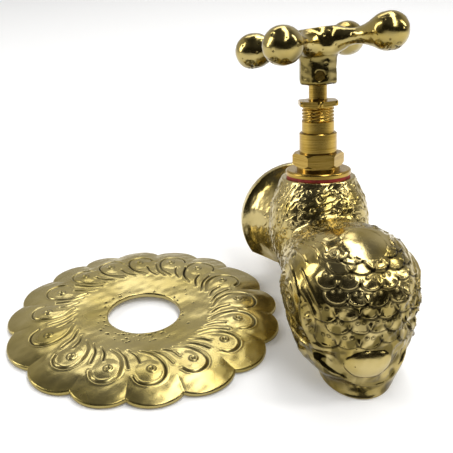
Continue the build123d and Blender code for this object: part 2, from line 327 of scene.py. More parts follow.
def makeTarnishAndShade():
    group, start, end = newGroup(
        "tarnish",
        [("Clean colour", colourSocket, (0.8, 0.7, 0.4, 1)),
         ("Warm colour", colourSocket, (0.7, 0.5, 0.2, 1)),
         ("Dirt colour", colourSocket, (0.05, 0.04, 0.02, 1)),
         ("Dull colour", colourSocket, (0.2, 0.16, 0.05, 1)),
         ("Hollow", floatSocket, 0.0), ("Dull", floatSocket, 0.0),
         ("Pits", floatSocket, 0.0), ("Clouds", floatSocket, 0.5), ("Clean roughness", floatSocket, 0.15),
         ("Dirt roughness", floatSocket, 0.6)],
        [("Colour", colourSocket), ("Roughness", floatSocket)])
    patches = addNode(group, "ShaderNodeMapRange", -600, 250)
    patches.inputs["From Min"].default_value = 0.42
    patches.inputs["From Max"].default_value = 0.66
    body = addNode(group, "ShaderNodeMix", -300, 250, data_type="RGBA")
    # The dull mask also carries painted shade on faces turned down.
    handled = addNode(group, "ShaderNodeMix", -150, 250, data_type="RGBA")
    # Dark colour over hollows and pits, which also paints shade under ridges, scale edges and the jaw.
    dirt = addNode(group, "ShaderNodeMath", -300, -100, operation="MAXIMUM")
    shade = addNode(group, "ShaderNodeMix", 0, 200, data_type="RGBA")
    uneven = addNode(group, "ShaderNodeMath", -300, -300, operation="MULTIPLY_ADD")
    uneven.inputs[1].default_value = 0.12  # how far the clouds roughen the metal
    rough = addNode(group, "ShaderNodeMix", 0, -200, data_type="FLOAT")
    connect(group,
            (start, "Clouds", patches, "Value"), (patches, "Result", body, "Factor"),
            (start, "Clean colour", body, 6), (start, "Warm colour", body, 7),
            (start, "Dull", handled, "Factor"), (body, 2, handled, 6), (start, "Dull colour", handled, 7),
            (start, "Hollow", dirt, 0), (start, "Pits", dirt, 1),
            (dirt, 0, shade, "Factor"), (handled, 2, shade, 6), (start, "Dirt colour", shade, 7),
            (start, "Clouds", uneven, 0), (start, "Clean roughness", uneven, 2),
            (dirt, 0, rough, "Factor"), (uneven, 0, rough, 2), (start, "Dirt roughness", rough, 3),
            (shade, 2, end, "Colour"), (rough, 0, end, "Roughness"))
    return group


def makeLatheLines():
    group, start, end = newGroup(
        "latheLines",
        [("Vector", vectorSocket, None), ("Lean", vectorSocket, (0, 0, 0)),
         ("Scratch scale", floatSocket, 300.0)],
        [("Lines", floatSocket)])
    upright = addNode(group, "ShaderNodeVectorRotate", -650, 100, rotation_type="EULER_XYZ")
    stretch = addNode(group, "ShaderNodeMapping", -450, 100)
    stretch.inputs["Scale"].default_value = (0.02, 0.02, 1.0)
    scratches = addNode(group, "ShaderNodeTexNoise", -220, 100)
    scratches.inputs["Detail"].default_value = 4.0
    connect(group,
            (start, "Vector", upright, "Vector"), (start, "Lean", upright, "Rotation"),
            (upright, "Vector", stretch, "Vector"), (stretch, "Vector", scratches, "Vector"),
            (start, "Scratch scale", scratches, "Scale"), (scratches, "Fac", end, "Lines"))
    return group


castGrain = makeCastGrain()
tarnish = makeTarnishAndShade()
latheLines = makeLatheLines()


def newMaterial(name):
    material = bpy.data.materials.new(name)
    material.use_nodes = True
    tree = material.node_tree
    tree.nodes.clear()
    out = addNode(tree, "ShaderNodeOutputMaterial", 900, 0)
    shader = addNode(tree, "ShaderNodeBsdfPrincipled", 600, 0)
    tree.links.new(shader.outputs["BSDF"], out.inputs["Surface"])
    return material, tree, shader


def makeFinish(name, look, metallic=0.0, turned=False, masked=False):
    material, tree, shader = newMaterial(name)
    place = addNode(tree, "ShaderNodeTexCoord", -700, 0)
    grain = placeGroup(tree, castGrain, -450, 0, look)
    skin = placeGroup(tree, tarnish, 0, 0, look)
    bump = addNode(tree, "ShaderNodeBump", 300, -250)
    bump.inputs["Strength"].default_value = look["bump"]
    bump.inputs["Distance"].default_value = look["bumpDepth"] * mm
    shader.inputs["Metallic"].default_value = metallic
    connect(tree,
            (place, "Object", grain, "Vector"), (grain, "Pits", skin, "Pits"),
            (skin, "Colour", shader, "Base Color"), (skin, "Roughness", shader, "Roughness"),
            (bump, "Normal", shader, "Normal"))
    if turned:
        lines = placeGroup(tree, latheLines, -450, 300, look)
        connect(tree, (place, "Object", lines, "Vector"),
                (lines, "Lines", skin, "Clouds"), (lines, "Lines", bump, "Height"))
    else:
        connect(tree, (grain, "Clouds", skin, "Clouds"), (grain, "Height", bump, "Height"))
    if masked:
        for row, mask in enumerate(("hollow", "dull")):
            reader = addNode(tree, "ShaderNodeAttribute", -450, -300 - 180 * row, attribute_name=mask)
            connect(tree, (reader, "Fac", skin, mask.capitalize()))
    return material


# The dark colour darkens hollows and paints shade under ridges and edges; the dull colour dulls patches and
# paints shade on undersides.
castLook = {
    "cleanColour": (0.53, 0.43, 0.19, 1), "warmColour": (0.36, 0.27, 0.07, 1),
    "dirtColour": (0.012, 0.009, 0.004, 1), "dullColour": (0.13, 0.10, 0.03, 1),
    "cleanRoughness": 0.13, "dirtRoughness": 0.55,
    "grainScale": 700.0, "pitScale": 240.0, "pitSize": 0.075, "cloudScale": 55.0,
    "bump": 0.35, "bumpDepth": 0.12,
}
plateLook = dict(castLook, cleanColour=(0.47, 0.39, 0.165, 1), warmColour=(0.37, 0.295, 0.09, 1),
                 dullColour=(0.26, 0.20, 0.06, 1), cleanRoughness=0.2, pitScale=210.0, pitSize=0.05,
                 cloudScale=35.0, bump=0.25)
handleLook = dict(castLook, cleanColour=(0.45, 0.36, 0.14, 1), warmColour=(0.34, 0.25, 0.06, 1),
                  cleanRoughness=0.11, pitScale=300.0, pitSize=0.09)
turnedLook = {
    "cleanColour": (0.46, 0.31, 0.07, 1), "warmColour": (0.31, 0.19, 0.03, 1),
    "dirtColour": (0.02, 0.014, 0.005, 1), "dullColour": (0.30, 0.19, 0.04, 1),
    "cleanRoughness": 0.17, "dirtRoughness": 0.5,
    "grainScale": 900.0, "pitScale": 300.0, "pitSize": 0.02, "cloudScale": 50.0,
    "scratchScale": 2600.0, "lean": (lean, 0, 0), "bump": 0.25, "bumpDepth": 0.05,
}
fibreLook = {
    "cleanColour": (0.42, 0.035, 0.03, 1), "warmColour": (0.24, 0.02, 0.018, 1),
    "dirtColour": (0.04, 0.008, 0.006, 1), "dullColour": (0.2, 0.02, 0.018, 1),
    "cleanRoughness": 0.55, "dirtRoughness": 0.8,
    "grainScale": 1800.0, "pitScale": 600.0, "pitSize": 0.15, "cloudScale": 400.0,
    "bump": 0.4, "bumpDepth": 0.08,
}
graphiteLook = dict(fibreLook, cleanColour=(0.05, 0.05, 0.055, 1), warmColour=(0.1, 0.1, 0.11, 1),
                    dirtColour=(0.01, 0.01, 0.01, 1), dullColour=(0.04, 0.04, 0.04, 1))
rubberLook = dict(fibreLook, cleanColour=(0.022, 0.022, 0.022, 1), warmColour=(0.035, 0.034, 0.033, 1),
                  dirtColour=(0.008, 0.008, 0.008, 1), dullColour=(0.02, 0.02, 0.02, 1), bump=0.2)

bodyBrass = makeFinish("castBrassBody", castLook, metallic=1.0, masked=True)
plateBrass = makeFinish("castBrassFlange", plateLook, metallic=1.0, masked=True)
handleBrass = makeFinish("castBrassHandle", handleLook, metallic=1.0, masked=True)
turnedBrass = makeFinish("turnedBrass", turnedLook, metallic=1.0, turned=True)
redFibre = makeFinish("redFibre", fibreLook)
graphiteYarn = makeFinish("graphiteYarn", graphiteLook)
valveRubber = makeFinish("valveRubber", rubberLook)

for nodeName, material in {
    "bonnet": turnedBrass, "spindle": turnedBrass, "handle_grub_screw": turnedBrass, "jumper": turnedBrass,
    "jumper_nut": turnedBrass, "packing_follower": turnedBrass, "bonnet_washer": redFibre,
    "packing_ring_lower": graphiteYarn, "packing_ring_upper": graphiteYarn, "jumper_washer": valveRubber,
}.items():
    for materialSlot in nodes[nodeName].material_slots:
        materialSlot.material = material
print("materials made")


# Casting: dense copy, rounded joins, then the worked surface.
bodyLook = {
    "voxel": 0.45, "quickVoxel": 0.6, "joinRounds": 60, "hollowShare": 0.5, "crownShare": 0.01, "seed": 4,
    "topClear": 0.6, "collarBand": 5.2, "tableClear": 0.25, "headFront": -26.0,
    "deepest": -2.2, "highest": 3.0,
}
headCentre = np.array(tapSizes["headCentre"])


def headDirection(turn, rise):
    turn = math.radians(turn)
    rise = math.radians(rise)
    return np.array([math.sin(turn) * math.cos(rise), -math.cos(turn) * math.cos(rise), math.sin(rise)])


class Surface:
    def __init__(self, points, normals, cast):
        self.points = points
        self.normals = normals
        self.cast = cast
        fromHead = points - headCentre
        self.headRays = fromHead / np.linalg.norm(fromHead, axis=1)[:, None]
        self.usable = np.where(cast & (self.headRays[:, 1] < 0.9), 0.0, -9.0)
        self.turn = np.degrees(np.arctan2(self.headRays[:, 0], -self.headRays[:, 1]))
        self.rise = np.degrees(np.arcsin(self.headRays[:, 2]))
        self.aboveTable = (toRow(points) / mm)[:, 2] - tableZ
        self.head = (points[:, 1] < bodyLook["headFront"]) & cast
        self.beak = np.zeros(len(points))
        self.height = np.zeros(len(points))
        self.dirt = np.zeros(len(points))

    def onHead(self, turn, rise):
        return int(np.argmax(self.headRays @ headDirection(turn, rise) + self.usable))

    def near(self, index, reach):
        gap = self.points - self.points[index]
        found = np.nonzero((np.abs(gap) < reach).all(1) & (self.normals @ self.normals[index] > 0.2))[0]
        return found, gap[found]

    def local(self, index, reach, spin=0.0):
        found, gap = self.near(index, reach)
        normal = self.normals[index]
        across = np.cross([0, 0, 1.0], normal)
        across /= max(np.linalg.norm(across), 1e-6)
        up = np.cross(normal, across)
        u = gap @ across
        v = gap @ up
        c, s = math.cos(spin), math.sin(spin)
        return found, u * c + v * s, v * c - u * s


def stampRing(surface, index, radius, height):
    found, u, v = surface.local(index, radius * 3.2)
    far = np.hypot(u, v)
    surface.height[found] += height * bell(far - radius, radius * 0.34)
    surface.height[found] += height * 0.9 * bell(far, radius * 0.3)
    surface.height[found] -= height * 0.5 * bell(far - radius * 1.75, radius * 0.35)
    inner = bell(far - radius * 0.52, radius * 0.24)
    outer = bell(far - radius * 1.7, radius * 0.3)
    surface.dirt[found] += 0.75 * inner + 0.4 * outer


def stampDash(surface, index, length, width, depth, spin, bend=0.0):
    found, u, v = surface.local(index, length * 1.6 + 1.0, spin)
    curved = v - bend * (u / length) ** 2
    past = np.maximum(np.abs(u) - length, 0)
    gap = np.hypot(past, curved)
    surface.height[found] -= depth * bell(gap, width)
    surface.height[found] += depth * 0.45 * bell(np.hypot(past, curved - width * 2.2), width)
    surface.dirt[found] += 0.7 * bell(gap, width * 0.8)


def stampBead(surface, index, radius, height, aside, above):
    found, u, v = surface.local(index, radius * 3 + abs(aside) + abs(above))
    far = np.hypot(u - aside, v - above)
    surface.height[found] += height * np.sqrt(np.clip(1 - (far / radius) ** 2, 0, 1))
    surface.height[found] -= height * 0.3 * bell(far - radius * 1.25, radius * 0.35)
    surface.dirt[found] += 0.85 * bell(far - radius * 1.25, radius * 0.4)


def stampScale(surface, index, radius, ridge):
    found, u, v = surface.local(index, radius * 1.7)
    far = np.hypot(u, v / 0.8)
    lower = smoothStep(0.25, -0.35, v / radius)
    swell = np.where(far < radius, smoothStep(radius * 0.35, radius, far), 0)
    surface.height[found] += ridge * lower * bell(far - radius, 0.34)
    surface.height[found] += ridge * 0.55 * lower * swell
    surface.height[found] += ridge * 0.4 * np.clip(1 - (far / radius) ** 2, 0, 1)
    # A groove under each scale's lower edge, with painted shade in it as a dark arc.
    surface.height[found] -= ridge * 0.55 * lower * bell(far - radius - 0.8, 0.42)
    surface.dirt[found] += 0.95 * lower * bell(far - radius - 0.8, 0.5)


def headLine(surface, corners):
    return curveThrough([surface.points[surface.onHead(*corner)] for corner in corners], 6)


def raiseLine(surface, line, width, height, dirt=0.0, reach=4.0, fade=0.12):
    lowest = line.min(0) - reach
    highest = line.max(0) + reach
    found = np.nonzero(((surface.points > lowest) & (surface.points < highest)).all(1))[0]
    gap, along = lineDistance(surface.points[found], line)
    ends = smoothStep(0, fade, along) * smoothStep(0, fade, 1 - along)
    surface.height[found] += height * ends * bell(gap, width)
    surface.dirt[found] += dirt * ends * bell(gap, width)


def scatter(points, mask, gap, chooser):
    order = np.nonzero(mask)[0]
    chooser.shuffle(order)
    chosen = []
    cells = {}
    for index in order:
        cell = tuple((points[index] // gap).astype(int))
        close = False
        for dx in (-1, 0, 1):
            for dy in (-1, 0, 1):
                for dz in (-1, 0, 1):
                    for other in cells.get((cell[0] + dx, cell[1] + dy, cell[2] + dz), ()):
                        if np.linalg.norm(points[index] - points[other]) < gap:
                            close = True
        if not close:
            cells.setdefault(cell, []).append(index)
            chosen.append(int(index))
    return chosen


def isOutside(points, rowPoints):
    sizes = tapSizes
    room = np.hypot(points[:, 0], points[:, 1]) < sizes["roomRadius"]
    room &= (points[:, 2] > sizes["roomFloor"]) & (points[:, 2] < sizes["roomTop"])
    inlet = np.hypot(points[:, 0], points[:, 2]) < sizes["inletBore"] + sizes["boreClear"]
    inlet &= points[:, 1] > 0
    head = np.linalg.norm(points - headCentre, axis=1) < sizes["headRoom"]
    centre = sizes["outletCentre"]
    outlet = np.hypot(rowPoints[:, 0] - centre[0], rowPoints[:, 1] - centre[1]) < sizes["outletBore"]
    return ~(room | inlet | head | outlet)


# Places on the head are (turn, rise) in degrees from its centre, 0 and 0 being straight ahead.
faceLook = {
    "beak": (2, -48), "beakHalfWidth": 9.6, "beakHalfHeight": 6.4, "beakRise": 2.5,
    "jaw": [(-56, -39), (-54, -46), (-45, -51), (-34, -54), (-20, -57), (-6, -60), (10, -61), (23, -60),
            (34, -57), (40, -52), (47, -46), (50, -39)],
    "jawWidth": 0.9, "jawRise": 1.1, "jawShadow": (0, 0.6, -1.9), "jawDirt": 0.12,
    "cheek": (50, -26), "cheekDepth": 2.3, "cheekWidth": 2.0, "cheekLength": 7.5,
    "ledge": (-46, -40), "ledgeRise": 1.0, "ledgeDepth": 0.9, "ledgeLength": 5.5,
    "mouth": (-5, -64), "mouthDepth": 1.3, "mouthWidth": 1.6, "mouthLength": 4.6, "mouthDirt": 0.8,
}


def shapeFace(surface):
    # Broad shape first: smooth beak, jaw line, cheek notch, ledge and the sunk mouth.
    look = faceLook
    found, u, v = surface.local(surface.onHead(*look["beak"]), 14)
    dome = np.clip(1 - (u / look["beakHalfWidth"]) ** 2 - (v / look["beakHalfHeight"]) ** 2, 0, 1)
    surface.height[found] += look["beakRise"] * dome ** 0.6
    surface.beak[found] = smoothStep(0.0, 0.25, dome)

    jaw = headLine(surface, look["jaw"])
    raiseLine(surface, jaw, look["jawWidth"], look["jawRise"])
    jawTurns, jawRises = np.array(look["jaw"], float).T
    order = np.argsort(jawTurns)
    # Painted shade on the band below the jaw line, then a painted shadow line just under the jaw.
    belowJaw = np.interp(surface.turn, jawTurns[order], jawRises[order]) - surface.rise
    underJaw = smoothStep(1.5, 7.0, belowJaw) * smoothStep(-75, -52, surface.turn)
    underJaw *= smoothStep(68, 48, surface.turn) * surface.head
    surface.dirt += look["jawDirt"] * underJaw
    raiseLine(surface, jaw + np.array(look["jawShadow"]), 0.7, -0.3, dirt=0.45)

    found, u, v = surface.local(surface.onHead(*look["cheek"]), 9)
    surface.height[found] -= look["cheekDepth"] * bell(v, look["cheekWidth"]) * bell(u, look["cheekLength"])
    found, u, v = surface.local(surface.onHead(*look["ledge"]), 9)
    along = bell(u, look["ledgeLength"])
    surface.height[found] += look["ledgeRise"] * smoothStep(-1.6, 0.4, v) * smoothStep(3.2, 1.4, v) * along
    surface.height[found] -= look["ledgeDepth"] * bell(v + 3.0, 1.4) * along

    # Nothing is cut deep near the table, so the head runs down smoothly to its foot.
    surface.height = np.maximum(surface.height, -0.25 - 1.9 * smoothStep(5, 12, surface.aboveTable))
    # The sunk mouth, with uneven painted shade in it.
    found, u, v = surface.local(surface.onHead(*look["mouth"]), 9)
    sunk = bell(v + 0.6, look["mouthWidth"]) * bell(u, look["mouthLength"])
    surface.height[found] -= look["mouthDepth"] * sunk
    surface.dirt[found] += look["mouthDirt"] * sunk * (0.5 + 0.5 * np.sin(u * 2.1 + v))


# Each leaf line has its places, its width and its height.
leafLook = {
    "lines": (
        ([(-96, 24), (-78, 20), (-66, 12), (-60, -3), (-60, -20), (-56, -36)], 0.6, 0.85),
        ([(-66, 13), (-54, 5), (-47, -6), (-45, -17), (-48, -30)], 0.55, 0.75),
        ([(-70, 26), (-60, 20), (-48, 8), (-41, -4), (-40, -16)], 0.5, 0.5),
        ([(-92, -30), (-78, -36), (-66, -39), (-56, -40)], 0.6, 0.8),
        ([(-84, 9), (-78, 12), (-71, 6), (-68, -6), (-74, -15), (-82, -10), (-84, 0), (-84, 9)], 0.4, 0.5),
        ([(-100, 46), (-84, 50), (-60, 52), (-46, 44)], 0.5, 0.45),
        ([(-104, 38), (-88, 42), (-66, 44), (-52, 36)], 0.5, 0.45),
        ([(-110, 30), (-94, 34), (-76, 35), (-60, 29)], 0.5, 0.45),
    ),
    "eye": [(-75, -5)], "eyeRadius": 1.3, "eyeHeight": 0.5,
    "notches": [(-53, -10), (-52, -16), (-53, -23), (-55, -4)],
    "farShift": 6,
}


def mirrored(side, places):
    # The far side is a mirror image about a line half the shift to the right of straight ahead.
    shift = 0 if side == 1 else leafLook["farShift"]
    return [(side * turn + shift, rise) for turn, rise in places]


def shapeLeaves(surface):
    # Long leaf and its ridges on each side of the head.
    look = leafLook
    for side in (1, -1):
        for places, width, height in look["lines"]:
            line = headLine(surface, mirrored(side, places))
            raiseLine(surface, line, width, height)
            # A shallow groove just below each ridge, with a painted shadow line in it.
            raiseLine(surface, line + np.array([0, 0, -1.15]), 0.45, -0.45, dirt=0.7)
        for place in mirrored(side, look["eye"]):
            stampRing(surface, surface.onHead(*place), look["eyeRadius"], look["eyeHeight"])
        for place in mirrored(side, look["notches"]):
            stampDash(surface, surface.onHead(*place), 1.0, 0.5, 0.6, 0.6)


scaleLook = {
    "rows": 7, "columns": 8, "topRise": 47, "rowStep": 12.6, "firstTurn": -36, "lastTurn": 66,
    "turnStep": 18.0, "stagger": 9, "scatter": 1.5, "radius": 4.5, "ridge": 0.5,
    "shallowAbove": 20, "shallowShare": 0.55,
    "beadsBelow": 40, "beadRadius": 0.62, "beadHeight": 0.42, "beadAside": 1.25, "beadAbove": 1.2,
}


def stampScales(surface, chooser):
    # Overlapping scales in staggered rows, each with a pair of beads at its top.
    look = scaleLook
    loose = look["scatter"]
    for row in range(look["rows"]):
        level = look["topRise"] - look["rowStep"] * row
        ridge = look["ridge"] * (look["shallowShare"] if level > look["shallowAbove"] else 1.0)
        narrowing = max(math.cos(math.radians(level)), 0.7)
        firstTurn = look["firstTurn"] + (look["stagger"] if row % 2 else 0)
        for column in range(look["columns"]):
            across = firstTurn + column * look["turnStep"] / narrowing * 0.93
            if across > look["lastTurn"]:
                continue
            turn = across + chooser.uniform(-loose, loose)
            index = surface.onHead(turn, level + chooser.uniform(-loose, loose))
            stampScale(surface, index, look["radius"] * chooser.uniform(0.85, 1.1), ridge)
            if level >= look["beadsBelow"]:
                stampRing(surface, index, 1.0, 0.25)
                continue
            for aside in (-look["beadAside"], look["beadAside"]):
                stampBead(surface, index, look["beadRadius"], look["beadHeight"],
                          aside + chooser.uniform(-0.2, 0.2), look["beadAbove"] + chooser.uniform(-0.3, 0.3))


hairLook = {
    "ringGap": 5.0, "ringRadius": 0.9, "ringHeight": 0.32, "ringClear": 1.7, "ringTop": 29.0,
    "dashGap": 2.9, "dashLength": 1.7, "dashDepth": 0.34, "dashWidth": 0.3, "slant": 1.05, "neckSlant": 0.45,
    "chamberBack": 21.0, "throatFront": 19.0, "throatBack": 29.0, "throatFoot": 8.0,
    "sideTurn": 90, "sideRise": -28, "sideFoot": 18.0, "neckBack": -14.0,
}


def stampHair(surface, chooser):
    # Little eyes and hair strokes over the valve chamber, the neck and the sides of the head.
    look = hairLook
    points = surface.points
    y = points[:, 1]
    neckOrChamber = surface.cast & ~surface.head & (y < look["chamberBack"])
    sideOfHead = surface.head & (np.abs(surface.turn) > look["sideTurn"])
    sideOfHead &= (surface.rise > look["sideRise"]) & (surface.aboveTable > look["sideFoot"])
    throat = surface.cast & (y >= look["throatFront"]) & (y < look["throatBack"])
    throat &= surface.aboveTable > look["throatFoot"]
    rings = scatter(points, (neckOrChamber | sideOfHead) & (points[:, 2] < look["ringTop"]),
                    look["ringGap"], chooser)
    taken = np.zeros(len(points), bool)
    for index in rings:
        stampRing(surface, index, look["ringRadius"] * chooser.uniform(0.8, 1.1), look["ringHeight"])
        taken[surface.near(index, look["ringClear"])[0]] = True
    hairs = scatter(points, (neckOrChamber | throat | sideOfHead) & ~taken, look["dashGap"], chooser)
    for index in hairs:
        slant = look["slant"] + chooser.uniform(-0.25, 0.25)
        if y[index] < look["neckBack"]:
            slant = look["neckSlant"] + chooser.uniform(-0.2, 0.2)
        sign = 1 if surface.normals[index, 0] < 0.55 else -1
        stampDash(surface, index, look["dashLength"] * chooser.uniform(0.45, 1.0), look["dashWidth"],
                  look["dashDepth"] * chooser.uniform(0.6, 1.1), sign * slant, chooser.uniform(-0.5, 0.5))


def foundryWaves(surface, lowFace):
    # Slow waves left by the foundry's hand, strongest low on the face and none on the polished beak.
    points = surface.points
    seed = bodyLook["seed"]
    matt = 1 - surface.beak
    waves = 0.13 * waviness(points, 7.0, seed) + 0.04 * waviness(points, 2.4, seed + 1)
    waves += surface.head * (0.14 * waviness(points, 6.0, 31) + 0.06 * waviness(points, 2.6, 32)) * matt
    waves += lowFace * (0.22 * waviness(points, 4.2, 33) + 0.13 * waviness(points, 2.0, 34))
    return waves


def dullPatchesAndUnderShade(surface, points, lowFace):
    # Undersides get painted shade, and loose patches are duller.
    paintedUnderShade = smoothStep(0.45, -0.55, surface.normals[:, 2])
    paintedUnderShade *= smoothStep(-0.9, 0.9, waviness(points, 5.0, 41) + 0.3)
    paintedUnderShade *= np.where(surface.head, 1.0, 0.4)
    patchy = smoothStep(0.3, 1.3, waviness(points, 6.5, 42) + 0.4 * waviness(points, 2.0, 43))
    lowPatches = lowFace * smoothStep(0.0, 0.9, waviness(points, 3.6, 44))
    dull = np.clip(0.75 * paintedUnderShade + 0.6 * patchy * surface.head + 0.9 * lowPatches, 0, 1)
    return dull * (1 - 0.9 * surface.beak) * surface.cast


def makeCastBody():
    look = bodyLook
    voxel = look["voxel"]
    faceInRow = toRow(np.array([[0, tapSizes["inletReach"] + 0.1, 0]]))[0]
    back = leanMatrix @ np.array([0, 1.0, 0])
    mesh = voxelCopy("tap_body", voxel, (faceInRow, back))
    metres = readPoints(mesh)
    points = toTap(metres)
    rowPoints = metres / mm
    print("casting remeshed:", len(points), "points")

    bodyTop = tapSizes["bodyTop"]
    band = tapSizes["inletReach"] - look["collarBand"]
    cast = isOutside(points, rowPoints) & (points[:, 2] < bodyTop - look["topClear"])
    cast &= points[:, 1] < band
    cast &= rowPoints[:, 2] > tableZ + look["tableClear"]
    points = relax(mesh, points, look["joinRounds"], look["hollowShare"], look["crownShare"],
                   cast.astype(float))

    chooser = random.Random(look["seed"])
    normals = readNormals(mesh, points)
    surface = Surface(points, normals, cast)
    shapeFace(surface)
    shapeLeaves(surface)
    stampScales(surface, chooser)
    stampHair(surface, chooser)

    lowFace = surface.head * smoothStep(12, -8, surface.rise) * smoothStep(-62, -52, surface.rise)
    lowFace = lowFace * (1 - surface.beak)
    foot = surface.aboveTable
    fade = cast * smoothStep(bodyTop - 0.5, bodyTop - 1.8, points[:, 2])
    fade = fade * smoothStep(band, band - 1.5, points[:, 1])
    fade = fade * np.where(surface.height > 0, smoothStep(0.4, 3.5, foot), smoothStep(0.1, 0.8, foot))
    height = np.clip(surface.height, look["deepest"], look["highest"]) + foundryWaves(surface, lowFace)
    worked = points + normals * (height * fade)[:, None]
    writePoints(mesh, toRow(worked))
    shadeSmooth(mesh)
    hollow = surface.dirt * np.sign(fade) * np.where(surface.head, 1.0, 0.65)
    addValue(mesh, "hollow", np.clip(hollow, 0, 1))
    addValue(mesh, "dull", dullPatchesAndUnderShade(surface, worked, lowFace))
    return mesh


def threadTooth(along, angles, pitch, hand):
    # One ring of a helix: 1 on the crest and 0 in the root.
    phase = (along / pitch + hand * angles / (2 * math.pi)) % 1.0
    return np.clip(np.abs(phase - 0.5) * 2.6 - 0.15, 0, 1)


def ringMesh(name, rows, angles, alongInlet):
    # Rows are a radius and a place on the axis, and the last row joins the first.
    rings = []
    for radius, along in rows:
        across = radius * np.cos(angles)
        other = radius * np.sin(angles)
        place = np.full(len(angles), along)
        rings.append(np.stack([across, place, other] if alongInlet else [across, other, place], 1))
    mesh = bpy.data.meshes.new(name)
    mesh.from_pydata(toRow(np.concatenate(rings)).tolist(), [], gridFaces(len(rows), len(angles)))
    return mesh


def makeInletThread():
    sizes = tapSizes
    columns = 96
    angles = np.arange(columns) * 2 * math.pi / columns
    plain = np.ones(columns)
    start = sizes["inletReach"] - 0.4
    end = sizes["inletReach"] + sizes["threadLength"]
    rows = []
    count = int((end - start) / (sizes["threadPitch"] / 12))
    for row in range(count + 1):
        y = start + (end - start) * row / count
        tooth = threadTooth(y, angles, sizes["threadPitch"], 1)
        runout = smoothStep(sizes["inletReach"] + 0.3, sizes["inletReach"] + 2.2, y)
        radius = sizes["threadRadius"] - sizes["threadDepth"] * (1 - tooth) * runout
        rows.append((np.minimum(radius, sizes["threadRadius"] - max(0.0, y - end + 1.2)), y))
    for radius, y in ((sizes["threadRadius"] - 2.0, end), (sizes["inletBore"] + 0.4, end),
                      (sizes["inletBore"], end - 0.4), (sizes["inletBore"], start)):
        rows.append((plain * radius, y))
    mesh = ringMesh("inletThread", rows, angles, True)
    shadeSmooth(mesh, 35)
    return mesh


def makeBodyPiece():
    mesh = makeCastBody()
    thread = makeInletThread()
    bm = bmesh.new()
    bm.from_mesh(mesh)
    count = len(bm.faces)
    bm.from_mesh(thread)
    bm.faces.ensure_lookup_table()
    for face in bm.faces[count:]:
        face.material_index = 1
    bm.to_mesh(mesh)
    bm.free()
    mesh.materials.append(bodyBrass)
    mesh.materials.append(turnedBrass)
    return addObject("ornateCasting", mesh, "tap", "cast_brass", "tap_body")


makeBodyPiece()
print("casting made")


# Wall flange: scalloped dish with sixteen engraved drops.
plateSizes = {
    "centre": (-82.6, -40.2), "hole": 17.2, "root": 59.4, "tip": 63.6, "metal": 2.4, "rise": 3.4,
    "crown": 38.0, "holeDrop": 1.6, "edgeDrop": 0.55,
    "columns": 1152, "rows": 190, "underRows": 24, "quickShare": 0.7,
    "notches": (-175.5, -148.4, -123.0, -99.8, -77.0, -52.9, -29.5, -7.7, 13.0, 40.5, 58.7, 80.1, 100.8,
                118.3, 138.9, 163.2),
}
dropSizes = {
    "eyeRadius": 45.2, "grooveWidth": 0.4, "grooveDepth": 0.5, "drop": 0.45, "seed": 11,
    "grooves": (
        [(-12.6, -3.6), (-8.9, 1.8), (-2.6, 5.2), (3.3, 5.4), (7.0, 2.6), (8.0, -2.2), (6.4, -6.0),
         (3.4, -7.7)],
        [(-13.0, -8.8), (-9.6, -5.7), (-4.8, -4.4)],
        [(-13.3, -13.6), (-8.8, -10.3), (-1.6, -9.4)],
    ),
    "tail": [(-12.5, -6.4), (-8.5, -2.0), (-3, 0.4)],
    "pits": 70, "pitSide": -105, "pitSpread": 3.6, "pitDepth": 0.3,
}


def dishHeight(radius, edge):
    sizes = plateSizes
    top = sizes["metal"] + sizes["rise"]
    inner = np.clip((sizes["crown"] - radius) / (sizes["crown"] - sizes["hole"]), 0, 1)
    outer = np.clip((radius - sizes["crown"]) / (sizes["tip"] - sizes["crown"]), 0, 1)
    height = top - sizes["holeDrop"] * inner ** 1.7 - sizes["rise"] * outer ** 1.9
    return height - sizes["edgeDrop"] * edge


def plateRim(angles):
    # Each lobe swells between two notches, which are as uneven as on the real casting.
    sizes = plateSizes
    notches = np.radians(np.array(sizes["notches"]))
    after = np.append(notches[1:], notches[0] + 2 * math.pi)
    lobe = np.searchsorted(notches, angles, side="right") - 1
    wrapped = np.where(lobe < 0, angles + 2 * math.pi, angles)
    lobe = lobe % len(notches)
    across = (wrapped - notches[lobe]) / (after[lobe] - notches[lobe])
    bulge = (1 - np.abs(2 * across - 1) ** 2.1) ** 0.9
    return sizes["root"] + (sizes["tip"] - sizes["root"]) * bulge, 1 - bulge, (notches + after) / 2


def turnBetween(theta, middle):
    return (theta - middle + math.pi) % (2 * math.pi) - math.pi


